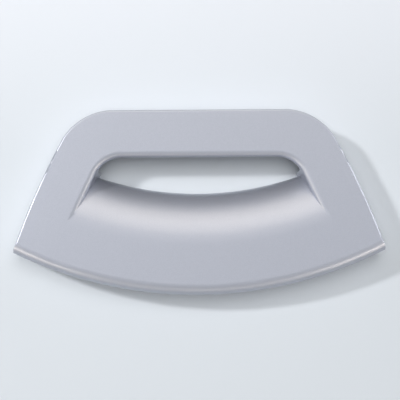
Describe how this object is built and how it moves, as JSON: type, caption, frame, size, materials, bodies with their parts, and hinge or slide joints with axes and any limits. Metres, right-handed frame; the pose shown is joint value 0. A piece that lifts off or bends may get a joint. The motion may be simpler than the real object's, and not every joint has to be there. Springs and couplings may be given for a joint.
{
  "type": "washing machine door handle",
  "caption": "Silver moulded plate with a straight grip bar, a finger opening, a curved scoop below it and a rolled arc-shaped outer lip.",
  "frame": {"origin": "centre of the box's underside, on the plane of the back rim that meets the door", "axes": "+Z out of the face, +X along the bar, +Y from the outer lip towards the bar and the door's centre"},
  "size_m": [0.2, 0.1, 0.024],
  "materials": {
    "painted_shell": "satin silver paint with a fine metallic grain over moulded plastic"
  },
  "bodies": {
    "root": {"door_handle": "painted_shell"}
  },
  "joints": []
}
